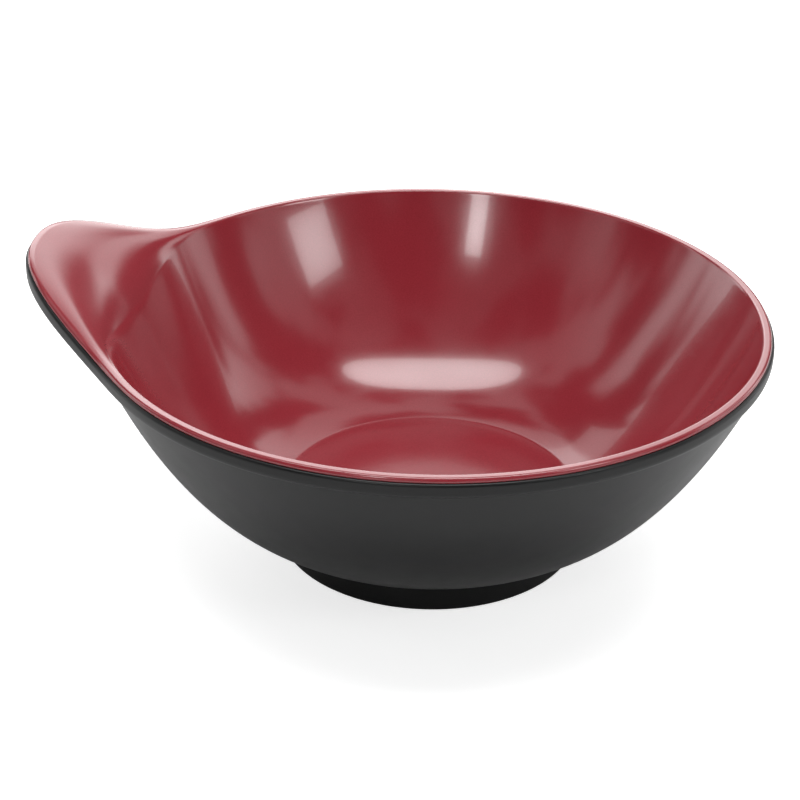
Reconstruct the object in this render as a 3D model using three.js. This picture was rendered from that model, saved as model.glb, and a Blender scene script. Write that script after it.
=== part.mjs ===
// Single-handled bowl moulded in two colours: a black outer shell with a foot ring,
// and a red inner liner that covers the inside, the lip and the top of the handle.
// Millimetres, +Z up, standing on z = 0. The handle points along +X and is mirrored about the XZ plane.
import * as THREE from "three";

// Driving dimensions
const rimRadius = 63.5; // outside of the lip, away from the handle
const rimHeight = 47.4; // top of the lip, away from the handle
const handleReach = 13.0; // how far the handle stands out past the lip
const handleRise = 10.6; // how far the handle's tip stands above the lip
const handleHalfAngle = 0.353; // radians, where the handle has fallen to 1/e of its reach
const handleSharpness = 2.48; // 2 is a bell curve, more gives a blunter tip
const handleBlend = 5.0; // how far the handle's top runs down into the inside wall
const lipWidth = 2.4; // inner edge of the lip to its outside
const bandHeight = 2.7; // black band round the outside, below the red
const handleBandExtra = 0.7; // the band is this much deeper at the handle's tip
const bandStep = 1.0; // how far the band stands out from the wall under it
const redEdge = 0.9; // thickness of red that shows above the black band
const redSetback = 0.5; // the red's outside edge lies inside the black band's by this
const wallThickness = 3.1; // whole wall, both colours together
const linerShare = 0.45; // part of the wall that is red
const bondGap = 0.3; // clearance between the two mouldings
const footRadius = 29.2; // outside of the foot ring
const footHeight = 7.6; // floor to the corner under the body
const footWidth = 3.2; // thickness of the foot ring
const footTaper = 0.6; // draft on the foot ring's inside
const recessDepth = 3.4; // hollow inside the foot ring
const floorRadius = 28.1; // flat floor inside the bowl
const wallBulgeTop = new THREE.Vector2(4.2, 9.8); // curve handle below the band, in and down
const wallBulgeFoot = new THREE.Vector2(18.0, 2.6); // curve handle above the foot, out and up

const azimuths = 72;
const wallSteps = 9;
const topSteps = 6;

const floorHeight = footHeight + wallThickness - 0.6; // top of the flat floor inside
const bellAt = (angle) => Math.exp(-Math.pow(Math.abs(angle) / handleHalfAngle, handleSharpness));
const mix = (a, b, share) => a + (b - a) * share;

// Points along a cubic curve between two ends, each a [radius, height] pair.
function curvePoints(start, startPull, endPull, end, steps) {
  const curve = new THREE.CubicBezierCurve(
    new THREE.Vector2(...start),
    new THREE.Vector2(...startPull),
    new THREE.Vector2(...endPull),
    new THREE.Vector2(...end),
  );
  return curve.getPoints(steps).map((p) => [p.x, p.y]);
}

// The edge of the bowl at one azimuth: the lip, or the handle's outline where the handle is.
function edgeAt(angle) {
  const bell = bellAt(angle);
  return { bell, radius: rimRadius + handleReach * bell, top: rimHeight + handleRise * bell };
}

// Inside wall from the floor's edge to the inner edge of the lip, moved outwards by depth into the wall.
function wallCurve(depth, bell) {
  const lift = depth;
  const lipRadius = rimRadius - lipWidth - handleBlend * bell;
  const lipHeight = rimHeight - 0.6 - 3.6 * bell;
  const start = [floorRadius + depth * 0.35, floorHeight - lift];
  const end = [lipRadius + depth * 0.8, lipHeight - depth * 0.45];
  return curvePoints(
    start,
    [start[0] + wallBulgeFoot.x * 0.92, start[1] + 4.4],
    [end[0] - wallBulgeTop.x, end[1] - wallBulgeTop.y],
    end,
    wallSteps,
  );
}

// Top surface from the wall, over the lip or along the handle, to the outside edge.
function topCurve(depth, bell, edge) {
  const wall = wallCurve(depth, bell);
  const from = wall[wall.length - 1];
  const before = wall[wall.length - 2];
  const length = Math.hypot(from[0] - before[0], from[1] - before[1]);
  const pull = mix(0.8, 6.5, bell);
  const out = edge.radius - redSetback;
  const last = depth ? [out - 0.35, edge.top - redEdge - bondGap] : [out - 0.6, edge.top];
  const slope = mix(0.0, 0.42, bell);
  return curvePoints(
    from,
    [from[0] + ((from[0] - before[0]) / length) * pull, from[1] + ((from[1] - before[1]) / length) * pull],
    [last[0] - mix(0.9, 7, bell), last[1] - mix(0.0, 7 * slope, bell)],
    last,
    topSteps,
  ).slice(1);
}

// One half-section of the red liner, from the axis under it round to the axis on top.
function linerSection(angle) {
  const edge = edgeAt(angle);
  const depth = wallThickness * linerShare;
  const under = [[0, floorHeight - depth], ...wallCurve(depth, edge.bell)];
  under.push(...topCurve(depth, edge.bell, edge).map(([r, z]) => [r, z + 0.0]));
  const out = edge.radius - redSetback;
  const rounding = [[out - 0.05, edge.top - redEdge], [out, edge.top - 0.55], [out - 0.15, edge.top - 0.2]];
  const over = [[0, floorHeight], ...wallCurve(0, edge.bell), ...topCurve(0, edge.bell, edge)];
  const lowered = under.map(([r, z], i) => (i > wallSteps + 1 ? [r, z + bondGap] : [r, z]));
  return [...lowered, ...rounding, ...over.reverse()];
}

// One half-section of the black shell, from the axis under the foot round to the axis on top.
function shellSection(angle) {
  const edge = edgeAt(angle);
  const depth = wallThickness * linerShare + bondGap;
  const bodyTop = [rimRadius - bandStep, rimHeight - redEdge - bandHeight];
  const bandFoot = edge.top - redEdge - bandHeight - handleBandExtra * edge.bell;
  const foot = [
    [0, recessDepth],
    [footRadius - footWidth - footTaper, recessDepth],
    [footRadius - footWidth, 0.5],
    [footRadius - footWidth + 0.5, 0],
    [footRadius - 0.6, 0],
    [footRadius, 0.6],
    [footRadius, footHeight - 0.3],
  ];
  const body = curvePoints(
    [footRadius + 0.5, footHeight],
    [footRadius + wallBulgeFoot.x, footHeight + wallBulgeFoot.y],
    [bodyTop[0] - wallBulgeTop.x, bodyTop[1] - wallBulgeTop.y],
    bodyTop,
    wallSteps,
  );
  const underHandle = curvePoints(
    bodyTop,
    [bodyTop[0] + mix(0.1, 3.5, edge.bell), bodyTop[1] + mix(0, 3.0, edge.bell)],
    [edge.radius - mix(0.5, 6, edge.bell), bandFoot - mix(0, 4.2, edge.bell)],
    [edge.radius - 0.6, bandFoot],
    3,
  ).slice(1);
  const band = [
    [edge.radius - 0.1, bandFoot + 0.6],
    [edge.radius, bandFoot + 1.3],
    [edge.radius, edge.top - redEdge - 0.6],
    [edge.radius - 0.15, edge.top - redEdge - 0.25],
  ];
  const bond = [[0, floorHeight - depth], ...wallCurve(depth, edge.bell), ...topCurve(depth, edge.bell, edge)];
  return [...foot, ...body, ...underHandle, ...band, ...bond.reverse()];
}

// Closed surface through the half-sections at every azimuth. The first and last points lie on the axis.
function turnedSolid(sectionAt) {
  const sections = Array.from({ length: azimuths }, (_, i) => {
    const angle = -Math.PI + (2 * Math.PI * i) / azimuths;
    const turn = ([r, z]) => [r * Math.cos(angle), r * Math.sin(angle), z];
    return sectionAt(angle).map(turn);
  });
  const rings = sections[0].length - 2;
  const vertices = [sections[0][0], sections[0][rings + 1]];
  sections.forEach((section) => vertices.push(...section.slice(1, -1)));
  const at = (i, j) => 2 + (i % azimuths) * rings + j;
  const faces = [];
  for (let i = 0; i < azimuths; i++) {
    faces.push(0, at(i + 1, 0), at(i, 0));
    faces.push(1, at(i, rings - 1), at(i + 1, rings - 1));
    for (let j = 0; j < rings - 1; j++) {
      faces.push(at(i, j), at(i + 1, j), at(i + 1, j + 1));
      faces.push(at(i, j), at(i + 1, j + 1), at(i, j + 1));
    }
  }
  const geometry = new THREE.BufferGeometry();
  geometry.setAttribute("position", new THREE.Float32BufferAttribute(vertices.flat(), 3));
  geometry.setIndex(faces);
  geometry.computeVertexNormals();
  return geometry;
}

function namedPiece(name, section, material) {
  const piece = new THREE.Mesh(turnedSolid(section), material);
  piece.name = name;
  return piece;
}

const blackMelamine = new THREE.MeshStandardMaterial({ color: 0x16171a, roughness: 0.34, metalness: 0 });
const redMelamine = new THREE.MeshStandardMaterial({ color: 0x9c2b32, roughness: 0.16, metalness: 0 });

const bowl = new THREE.Group();
bowl.add(namedPiece("outer_shell", shellSection, blackMelamine));
bowl.add(namedPiece("inner_liner", linerSection, redMelamine));
bowl.position.x = -handleReach / 2; // the frame's origin is the middle of the footprint's box

export default bowl;
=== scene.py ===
"""Two-colour moulded bowl with one handle: fine shapes, finish, light and camera."""
import math

import bmesh
import bpy
from mathutils import Matrix, Vector


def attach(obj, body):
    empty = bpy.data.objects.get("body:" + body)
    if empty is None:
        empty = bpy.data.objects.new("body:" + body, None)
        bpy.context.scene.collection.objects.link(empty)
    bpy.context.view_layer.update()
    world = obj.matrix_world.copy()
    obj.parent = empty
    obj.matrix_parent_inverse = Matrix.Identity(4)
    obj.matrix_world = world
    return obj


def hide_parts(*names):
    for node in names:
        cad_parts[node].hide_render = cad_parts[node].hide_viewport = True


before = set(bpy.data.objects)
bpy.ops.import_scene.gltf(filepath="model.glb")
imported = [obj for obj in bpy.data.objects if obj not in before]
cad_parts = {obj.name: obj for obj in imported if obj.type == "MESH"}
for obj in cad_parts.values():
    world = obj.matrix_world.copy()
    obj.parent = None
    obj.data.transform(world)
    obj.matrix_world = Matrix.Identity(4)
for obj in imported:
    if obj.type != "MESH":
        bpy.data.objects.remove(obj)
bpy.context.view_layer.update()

MM = 0.001

# The bowl's sizes, in millimetres
RIM_RADIUS = 63.5
RIM_HEIGHT = 47.4
HANDLE_REACH = 13.0
HANDLE_RISE = 10.6
HANDLE_HALF_ANGLE = 0.353
HANDLE_SHARPNESS = 2.48
HANDLE_BLEND = 5.0
LIP_WIDTH = 2.4
BAND_HEIGHT = 2.7
HANDLE_BAND_EXTRA = 0.7
BAND_STEP = 1.0
RED_EDGE = 0.9
RED_SETBACK = 0.5
WALL_THICKNESS = 3.1
LINER_SHARE = 0.45
BOND_GAP = 0.08
FOOT_RADIUS = 29.2
FOOT_HEIGHT = 7.6
FOOT_WIDTH = 3.2
FOOT_TAPER = 0.6
RECESS_DEPTH = 3.4
FLOOR_RADIUS = 28.1
FLOOR_SINK = 0.6
FLOOR_HEIGHT = FOOT_HEIGHT + WALL_THICKNESS - FLOOR_SINK
AXIS_X = -HANDLE_REACH / 2

# How the wall's curves leave their ends, in millimetres
TOP_PULL = (4.2, 9.8)
FOOT_PULL = (18.0, 2.6)
INSIDE_PULL_SHARE = 0.92
INSIDE_PULL_RISE = 4.4
DEPTH_SHARE_AT_FLOOR = 0.35
DEPTH_SHARE_AT_LIP = (0.8, 0.45)

# The lip, then the same at the handle's tip, in millimetres
LIP_DROP = 0.6
HANDLE_LIP_DROP = 3.6
LIP_PULL, HANDLE_PULL = 0.8, 6.5
EDGE_PULL, HANDLE_EDGE_PULL = 0.9, 7.0
HANDLE_SLOPE = 0.42
BOND_END_INSET = 0.35
TOP_END_INSET = 0.6
UNDER_HANDLE_OUT = (0.1, 3.5)
UNDER_HANDLE_IN = (0.5, 6.0)
UNDER_HANDLE_RISE = 3.0
UNDER_HANDLE_DROP = 4.2

# Roundings: where a bend starts, and how near its corner it is pulled, in millimetres
RECESS_BEND = (0.7, 0.2)
RING_INSIDE_BEND = (0.6, 0.2)
RING_OUTSIDE_BEND = (0.7, 0.3)
FLOOR_CREASE = 0.5
RECESS_FLAT = 1.2

# Fineness of the turned surfaces
AZIMUTHS = 300
WALL_STEPS = 56
TOP_STEPS = 26
UNDER_HANDLE_STEPS = 18
EDGE_STEPS = 8
BEND_STEPS = 6

# The viewpoint, in rim radii and degrees
VIEW_DISTANCE = 6.25
VIEW_ELEVATION = 27.51
VIEW_ROLL = 0.73
AIM_SIDE = -0.093
AIM_HEIGHT = 0.454
HANDLE_AZIMUTH = 173.2
PIXELS_PER_RADIUS = 331.5
PICTURE_PIXELS = 800
SENSOR_MM = 36.0
NEAR_AND_FAR = (0.01, 20)

# The studio: metres, watts and strengths, with places seen from the viewpoint
LIGHT_AIM = (0, 0, 0.03)
ROOM_LEVEL = 1.15
STREAK_SHIFT = (7.7, 1.3, 2.6)
STREAK_STRETCH = (1.0, 1.0, 0.35)
STREAK_GRAIN = (("Scale", 3.4), ("Detail", 2.0), ("Roughness", 0.45))
DIM_OVERHEAD = (0.3, 0.8, 1.0, 0.5)
DIM_BEHIND_VIEWER = (-0.7, 0.8, 0.12, 1.25)
STREAK_CONTRAST = (0.43, 0.57, 0.04, 1.8)
WHITE = (1, 1, 1, 1)
PAPER = (0.86, 0.86, 0.86, 1)
PAPER_GLOW = 0.7
PAPER_SIZE = 6
PAPER_BELOW = -0.0002

# Melamine finishes
RELIEF_DEPTH = 0.00005
COAT_ROUGHNESS = 0.04
SCUFF_SCALE = 260.0


def mix(a, b, share):
    return a + (b - a) * share


def curve_points(start, start_pull, end_pull, end, steps):
    """Points on a cubic curve through (radius, height) pairs."""
    pairs = (start, start_pull, end_pull, end)
    points = []
    for i in range(steps + 1):
        t = i / steps
        u = 1 - t
        weights = (u * u * u, 3 * u * u * t, 3 * u * t * t, t * t * t)
        points.append(tuple(sum(w * p[k] for w, p in zip(weights, pairs)) for k in (0, 1)))
    return points


def bend(tip, side_in, side_out, sizes):
    """A rounded corner at tip, with its two sides given as unit steps away from it."""
    start, pull = sizes
    away = [(tip[0] + side[0] * far, tip[1] + side[1] * far)
            for side, far in ((side_in, start), (side_in, pull), (side_out, pull), (side_out, start))]
    return curve_points(*away, BEND_STEPS)


def rounded(points, corner, radius):
    """The outline with the corner at that index replaced by a smooth bend."""
    here, before, after = (Vector(points[corner + k]) for k in (0, -1, 1))
    start = here + (before - here).normalized() * min(radius, (before - here).length * 0.49)
    end = here + (after - here).normalized() * min(radius, (after - here).length * 0.49)
    smooth = []
    for i in range(BEND_STEPS + 1):
        t = i / BEND_STEPS
        smooth.append(tuple(start * (1 - t) ** 2 + here * 2 * t * (1 - t) + end * t * t))
    return points[:corner] + smooth + points[corner + 1:]


def edge_at(angle):
    """How much of the handle there is at one azimuth, and the outside edge's radius and top."""
    bell = math.exp(-((abs(angle) / HANDLE_HALF_ANGLE) ** HANDLE_SHARPNESS))
    return bell, RIM_RADIUS + HANDLE_REACH * bell, RIM_HEIGHT + HANDLE_RISE * bell


def wall_curve(depth, bell):
    """Inside wall from the flat floor's edge to the lip's inner edge, depth into the wall."""
    start = (FLOOR_RADIUS + depth * DEPTH_SHARE_AT_FLOOR, FLOOR_HEIGHT - depth)
    lip_radius = RIM_RADIUS - LIP_WIDTH - HANDLE_BLEND * bell
    lip_height = RIM_HEIGHT - LIP_DROP - HANDLE_LIP_DROP * bell
    out, down = DEPTH_SHARE_AT_LIP
    end = (lip_radius + depth * out, lip_height - depth * down)
    start_pull = (start[0] + FOOT_PULL[0] * INSIDE_PULL_SHARE, start[1] + INSIDE_PULL_RISE)
    end_pull = (end[0] - TOP_PULL[0], end[1] - TOP_PULL[1])
    return curve_points(start, start_pull, end_pull, end, WALL_STEPS)


def top_curve(depth, bell, edge_radius, edge_top):
    """From the wall over the lip, or along the handle, to the outside edge."""
    wall = wall_curve(depth, bell)
    here, before = Vector(wall[-1]), Vector(wall[-2])
    along = (here - before).normalized() * mix(LIP_PULL, HANDLE_PULL, bell)
    out = edge_radius - RED_SETBACK
    if depth:
        last = (out - BOND_END_INSET, edge_top - RED_EDGE - BOND_GAP)
    else:
        last = (out - TOP_END_INSET, edge_top)
    slope = HANDLE_SLOPE * bell
    pull = (last[0] - mix(EDGE_PULL, HANDLE_EDGE_PULL, bell), last[1] - HANDLE_EDGE_PULL * slope * bell)
    return curve_points(tuple(here), tuple(here + along), pull, last, TOP_STEPS)[1:]


def liner_section(angle):
    """Half-section of the red liner: its underside, the rounded red edge, then its top side."""
    bell, radius, top = edge_at(angle)
    depth = WALL_THICKNESS * LINER_SHARE
    out = radius - RED_SETBACK
    under = [(0, FLOOR_HEIGHT - depth)] + wall_curve(depth, bell)
    under += [(r, z + BOND_GAP) for r, z in top_curve(depth, bell, radius, top)]
    rim = [(out - 0.05, top - RED_EDGE + 0.01)]
    rim += curve_points((out, top - 0.72), (out, top - 0.3), (out - 0.25, top), (out - 0.58, top), EDGE_STEPS)
    over = [(0, FLOOR_HEIGHT)] + wall_curve(0, bell) + top_curve(0, bell, radius, top)
    return under + rim + rounded(over, 1, FLOOR_CREASE)[::-1]


def foot_section():
    """The recess, the foot ring and the crease above it, from the axis outwards."""
    ring_in = FOOT_RADIUS - FOOT_WIDTH
    recess_edge = ring_in - FOOT_TAPER
    foot = [(0, RECESS_DEPTH), (recess_edge - RECESS_FLAT, RECESS_DEPTH)]
    foot += bend((recess_edge, RECESS_DEPTH), (-1, 0), (0, -1), RECESS_BEND)
    foot += bend((ring_in, 0), (0, 1), (1, 0), RING_INSIDE_BEND)
    foot += bend((FOOT_RADIUS, 0), (-1, 0), (0, 1), RING_OUTSIDE_BEND)
    foot += curve_points(
        (FOOT_RADIUS, FOOT_HEIGHT - 0.8), (FOOT_RADIUS, FOOT_HEIGHT - 0.3),
        (FOOT_RADIUS + 0.3, FOOT_HEIGHT), (FOOT_RADIUS + 0.7, FOOT_HEIGHT + 0.03), BEND_STEPS)
    return foot


def band_section(radius, band_foot, band_top):
    """The black band's outside, from its foot to where the red edge begins."""
    band = curve_points(
        (radius - 0.6, band_foot + 0.02), (radius - 0.25, band_foot + 0.1),
        (radius, band_foot + 0.5), (radius, band_foot + 1.2), EDGE_STEPS)
    band += curve_points(
        (radius, band_top - 0.7), (radius, band_top - 0.3),
        (radius - 0.2, band_top), (radius - 0.5, band_top - 0.005), BEND_STEPS)
    return band


def shell_section(angle):
    """Half-section of the black shell: foot, body, handle's underside, band, then the bond face."""
    bell, radius, top = edge_at(angle)
    depth = WALL_THICKNESS * LINER_SHARE + BOND_GAP
    body_top = (RIM_RADIUS - BAND_STEP, RIM_HEIGHT - RED_EDGE - BAND_HEIGHT)
    band_foot = top - RED_EDGE - BAND_HEIGHT - HANDLE_BAND_EXTRA * bell
    body = curve_points(
        (FOOT_RADIUS + 0.9, FOOT_HEIGHT + 0.05),
        (FOOT_RADIUS + FOOT_PULL[0], FOOT_HEIGHT + FOOT_PULL[1]),
        (body_top[0] - TOP_PULL[0], body_top[1] - TOP_PULL[1]), body_top, WALL_STEPS)
    under_handle = curve_points(
        body_top,
        (body_top[0] + mix(*UNDER_HANDLE_OUT, bell), body_top[1] + UNDER_HANDLE_RISE * bell),
        (radius - mix(*UNDER_HANDLE_IN, bell), band_foot - UNDER_HANDLE_DROP * bell),
        (radius - 0.75, band_foot), UNDER_HANDLE_STEPS)[1:]
    bond = [(0, FLOOR_HEIGHT - depth)] + wall_curve(depth, bell) + top_curve(depth, bell, radius, top)
    return foot_section() + body + under_handle + band_section(radius, band_foot, top - RED_EDGE) + bond[::-1]


def turned_piece(name, section_at):
    """A closed mesh through the half-sections at every azimuth."""
    mesh = bmesh.new()
    rings = []
    for i in range(AZIMUTHS):
        angle = -math.pi + 2 * math.pi * i / AZIMUTHS
        ring = []
        for r, z in section_at(angle)[1:-1]:
            place = Vector((AXIS_X + r * math.cos(angle), r * math.sin(angle), z))
            ring.append(mesh.verts.new(place * MM))
        rings.append(ring)
    middle = section_at(0)
    first = mesh.verts.new((AXIS_X * MM, 0, middle[0][1] * MM))
    last = mesh.verts.new((AXIS_X * MM, 0, middle[-1][1] * MM))
    for i, ring in enumerate(rings):
        after = rings[(i + 1) % AZIMUTHS]
        mesh.faces.new((first, after[0], ring[0]))
        mesh.faces.new((last, ring[-1], after[-1]))
        for j in range(len(ring) - 1):
            mesh.faces.new((ring[j], after[j], after[j + 1], ring[j + 1]))
    mesh.normal_update()
    for face in mesh.faces:
        face.smooth = True
    made = bpy.data.meshes.new(name)
    mesh.to_mesh(made)
    mesh.free()
    piece = bpy.data.objects.new(name, made)
    bpy.context.scene.collection.objects.link(piece)
    return piece


def add_node(tree, kind, values=(), **settings):
    """A new node with its own settings and the values of its unlinked sockets."""
    node = tree.nodes.new(kind)
    for key, value in settings.items():
        setattr(node, key, value)
    for socket, value in values:
        node.inputs[socket].default_value = value
    return node


def arithmetic(tree, operation, first, second):
    """A math node's result. Its first term is a socket, its second a socket or a number."""
    node = add_node(tree, "ShaderNodeMath", operation=operation)
    tree.links.new(first, node.inputs[0])
    if isinstance(second, float):
        node.inputs[1].default_value = second
    else:
        tree.links.new(second, node.inputs[1])
    return node.outputs[0]


def ranged(tree, source, limits, smooth):
    """The source mapped from one range to another, given as from, to, from, to."""
    names = ("From Min", "From Max", "To Min", "To Max")
    kind = "SMOOTHSTEP" if smooth else "LINEAR"
    node = add_node(tree, "ShaderNodeMapRange", zip(names, limits), interpolation_type=kind)
    tree.links.new(source, node.inputs["Value"])
    return node.outputs["Result"]


def camera_choice(tree, other, seen, end):
    """The shader that the camera sees is seen, and all other rays get other."""
    rays = add_node(tree, "ShaderNodeLightPath")
    choose = add_node(tree, "ShaderNodeMixShader")
    tree.links.new(rays.outputs["Is Camera Ray"], choose.inputs[0])
    tree.links.new(other, choose.inputs[1])
    tree.links.new(seen, choose.inputs[2])
    tree.links.new(choose.outputs[0], end)


def moulding_skin():
    """Group: fine speckle, slow mottle and light scuffs of a pressed melamine surface."""
    group = bpy.data.node_groups.new("moulding_skin", "ShaderNodeTree")
    face = group.interface
    inputs = (("Speckle Scale", 3800.0), ("Mottle Scale", 40.0), ("Mottle Amount", 0.1),
              ("Roughness", 0.2), ("Scuff Amount", 0.05), ("Speckle Amount", 0.1))
    for label, default in inputs:
        face.new_socket(label, in_out="INPUT", socket_type="NodeSocketFloat").default_value = default
    face.new_socket("Base", in_out="INPUT", socket_type="NodeSocketColor")
    face.new_socket("Color", in_out="OUTPUT", socket_type="NodeSocketColor")
    face.new_socket("Roughness", in_out="OUTPUT", socket_type="NodeSocketFloat")
    face.new_socket("Height", in_out="OUTPUT", socket_type="NodeSocketFloat")
    inside = add_node(group, "NodeGroupInput")
    outside = add_node(group, "NodeGroupOutput")
    place = add_node(group, "ShaderNodeTexCoord")
    link = group.links.new
    speckle = add_node(group, "ShaderNodeTexNoise", [("Detail", 2.0)])
    mottle = add_node(group, "ShaderNodeTexNoise", [("Detail", 3.0)])
    scuff = add_node(group, "ShaderNodeTexNoise", [("Scale", SCUFF_SCALE), ("Detail", 4.0)])
    for texture in (speckle, mottle, scuff):
        link(place.outputs["Object"], texture.inputs["Vector"])
    link(inside.outputs["Speckle Scale"], speckle.inputs["Scale"])
    link(inside.outputs["Mottle Scale"], mottle.inputs["Scale"])

    def centred(texture, amount):
        shifted = arithmetic(group, "SUBTRACT", texture.outputs["Fac"], 0.5)
        return arithmetic(group, "MULTIPLY", shifted, inside.outputs[amount])

    shade = arithmetic(group, "ADD", centred(speckle, "Speckle Amount"), centred(mottle, "Mottle Amount"))
    tint = add_node(group, "ShaderNodeVectorMath", operation="SCALE")
    link(inside.outputs["Base"], tint.inputs[0])
    link(arithmetic(group, "ADD", shade, 1.0), tint.inputs["Scale"])
    link(tint.outputs[0], outside.inputs["Color"])
    rough = arithmetic(group, "ADD", inside.outputs["Roughness"], centred(scuff, "Scuff Amount"))
    link(rough, outside.inputs["Roughness"])
    link(speckle.outputs["Fac"], outside.inputs["Height"])
    return group


def melamine(name, skin, base, roughness, relief_strength, ior, coat, amounts):
    """A melamine finish: its own shader, with colour, roughness and relief from the skin group."""
    material = bpy.data.materials.new(name)
    material.use_nodes = True
    tree = material.node_tree
    link = tree.links.new
    shader = tree.nodes["Principled BSDF"]
    shader.inputs["IOR"].default_value = ior
    shader.inputs["Coat Weight"].default_value = coat
    shader.inputs["Coat Roughness"].default_value = COAT_ROUGHNESS
    values = [("Base", (*base, 1)), ("Roughness", roughness), *amounts.items()]
    surface = tree.nodes.new("ShaderNodeGroup")
    surface.node_tree = skin
    for label, value in values:
        surface.inputs[label].default_value = value
    link(surface.outputs["Color"], shader.inputs["Base Color"])
    link(surface.outputs["Roughness"], shader.inputs["Roughness"])
    relief = add_node(tree, "ShaderNodeBump", [("Strength", relief_strength), ("Distance", RELIEF_DEPTH)])
    link(surface.outputs["Height"], relief.inputs["Height"])
    link(relief.outputs["Normal"], shader.inputs["Normal"])
    return material


def red_gloss(skin):
    amounts = {"Mottle Amount": 0.22, "Speckle Amount": 0.5, "Scuff Amount": 0.06}
    return melamine("red_gloss", skin, (0.30, 0.027, 0.038), 0.16, 0.10, 1.6, 0.35, amounts)


def black_satin(skin):
    amounts = {"Mottle Amount": 0.1, "Speckle Amount": 0.5, "Scuff Amount": 0.08}
    return melamine("black_satin", skin, (0.007, 0.007, 0.0073), 0.34, 0.16, 1.42, 0.0, amounts)


def make_camera(turn):
    data = bpy.data.cameras.new("viewpoint")
    data.sensor_width = SENSOR_MM
    data.lens = SENSOR_MM * PIXELS_PER_RADIUS * VIEW_DISTANCE / PICTURE_PIXELS
    data.clip_start, data.clip_end = NEAR_AND_FAR
    camera = bpy.data.objects.new("viewpoint", data)
    bpy.context.scene.collection.objects.link(camera)
    radius = RIM_RADIUS * MM
    elevation, roll = math.radians(VIEW_ELEVATION), math.radians(VIEW_ROLL)
    forward = Vector((0, math.cos(elevation), -math.sin(elevation)))
    right, up = Vector((1, 0, 0)), Vector((0, math.sin(elevation), math.cos(elevation)))
    aim = Vector((AIM_SIDE, 0, AIM_HEIGHT)) * radius
    rolled_right = right * math.cos(roll) + up * math.sin(roll)
    rolled_up = up * math.cos(roll) - right * math.sin(roll)
    basis = Matrix((turn @ rolled_right, turn @ rolled_up, turn @ -forward)).transposed()
    camera.matrix_world = basis.to_4x4()
    camera.location = turn @ (aim - forward * radius * VIEW_DISTANCE) + Vector((AXIS_X * MM, 0, 0))
    bpy.context.scene.camera = camera


def softbox(name, turn, place, size, watts, shape="RECTANGLE"):
    """An area lamp aimed at the bowl, placed as seen from the viewpoint."""
    data = bpy.data.lights.new(name, "AREA")
    data.shape = shape
    data.size, data.size_y = size
    data.energy = watts
    lamp = bpy.data.objects.new(name, data)
    bpy.context.scene.collection.objects.link(lamp)
    spot, target = turn @ Vector(place), turn @ Vector(LIGHT_AIM)
    lamp.location = spot
    lamp.rotation_mode = "QUATERNION"
    lamp.rotation_quaternion = (target - spot).to_track_quat("-Z", "Y")


def studio_lamps(turn):
    softbox("overhead_box", turn, (0.0, -0.1, 0.9), (0.95, 0.32), 5.0, "ELLIPSE")
    softbox("left_window", turn, (-0.28, -0.85, 0.60), (0.11, 0.26), 0.9)
    softbox("right_window", turn, (0.62, -0.5, 0.52), (0.24, 0.22), 1.0)
    softbox("back_window", turn, (-0.35, 1.1, 0.75), (1.1, 0.5), 2.4)


def pale_floor():
    """Matt paper that keeps the shadow and reads white to the camera."""
    bpy.ops.mesh.primitive_plane_add(size=PAPER_SIZE, location=(0, 0, PAPER_BELOW))
    floor = bpy.context.object
    floor.name = "studio_floor"
    material = bpy.data.materials.new("pale_paper")
    material.use_nodes = True
    tree = material.node_tree
    shader = tree.nodes["Principled BSDF"]
    shader.inputs["Base Color"].default_value = PAPER
    shader.inputs["Roughness"].default_value = 0.9
    shader.inputs["Specular IOR Level"].default_value = 0.0
    glow = add_node(tree, "ShaderNodeEmission", [("Color", WHITE), ("Strength", PAPER_GLOW)])
    both = add_node(tree, "ShaderNodeAddShader")
    tree.links.new(shader.outputs[0], both.inputs[0])
    tree.links.new(glow.outputs[0], both.inputs[1])
    camera_choice(tree, shader.outputs[0], both.outputs[0], tree.nodes["Material Output"].inputs["Surface"])
    floor.data.materials.append(material)


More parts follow.
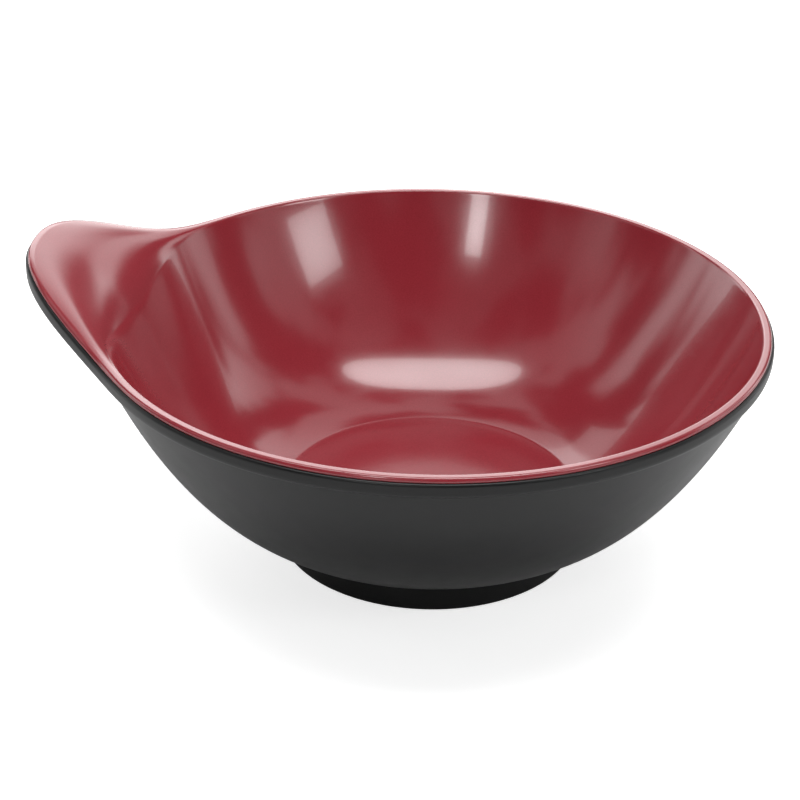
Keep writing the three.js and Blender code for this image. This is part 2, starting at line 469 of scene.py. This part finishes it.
def studio_world(turn):
    """White to the camera. All else gets a streaked room, darker overhead and behind the viewer."""
    world = bpy.data.worlds.new("studio")
    bpy.context.scene.world = world
    world.use_nodes = True
    tree = world.node_tree
    link = tree.links.new
    direction = add_node(tree, "ShaderNodeTexCoord").outputs["Generated"]
    split = add_node(tree, "ShaderNodeSeparateXYZ")
    link(direction, split.inputs[0])
    away = turn @ Vector((0, 1, 0))
    facing = add_node(tree, "ShaderNodeVectorMath", [(1, tuple(away))], operation="DOT_PRODUCT")
    link(direction, facing.inputs[0])
    placing = [(1, STREAK_STRETCH), (2, STREAK_SHIFT)]
    stretch = add_node(tree, "ShaderNodeVectorMath", placing, operation="MULTIPLY_ADD")
    link(direction, stretch.inputs[0])
    streak = add_node(tree, "ShaderNodeTexNoise", STREAK_GRAIN)
    link(stretch.outputs[0], streak.inputs["Vector"])
    overhead = ranged(tree, split.outputs["Z"], DIM_OVERHEAD, True)
    behind = ranged(tree, facing.outputs["Value"], DIM_BEHIND_VIEWER, False)
    bands = ranged(tree, streak.outputs["Fac"], STREAK_CONTRAST, True)
    level = arithmetic(tree, "MULTIPLY", overhead, behind)
    level = arithmetic(tree, "MULTIPLY", level, bands)
    level = arithmetic(tree, "MULTIPLY", level, ROOM_LEVEL)
    room = tree.nodes["Background"]
    room.inputs["Color"].default_value = WHITE
    link(level, room.inputs["Strength"])
    white = add_node(tree, "ShaderNodeBackground", [("Color", WHITE), ("Strength", 1.0)])
    camera_choice(tree, room.outputs[0], white.outputs[0], tree.nodes["World Output"].inputs["Surface"])


def place_piece(name, section_at, node, material):
    piece = turned_piece(name, section_at)
    piece.data.materials.append(material)
    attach(piece, "root")
    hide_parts(node)


bpy.context.scene.view_settings.view_transform = "Standard"
viewpoint_turn = Matrix.Rotation(math.radians(-HANDLE_AZIMUTH), 3, "Z")
make_camera(viewpoint_turn)
studio_world(viewpoint_turn)
pale_floor()
studio_lamps(viewpoint_turn)

pressed_skin = moulding_skin()
place_piece("bowl_outer_shell", shell_section, "outer_shell", black_satin(pressed_skin))
place_piece("bowl_inner_liner", liner_section, "inner_liner", red_gloss(pressed_skin))
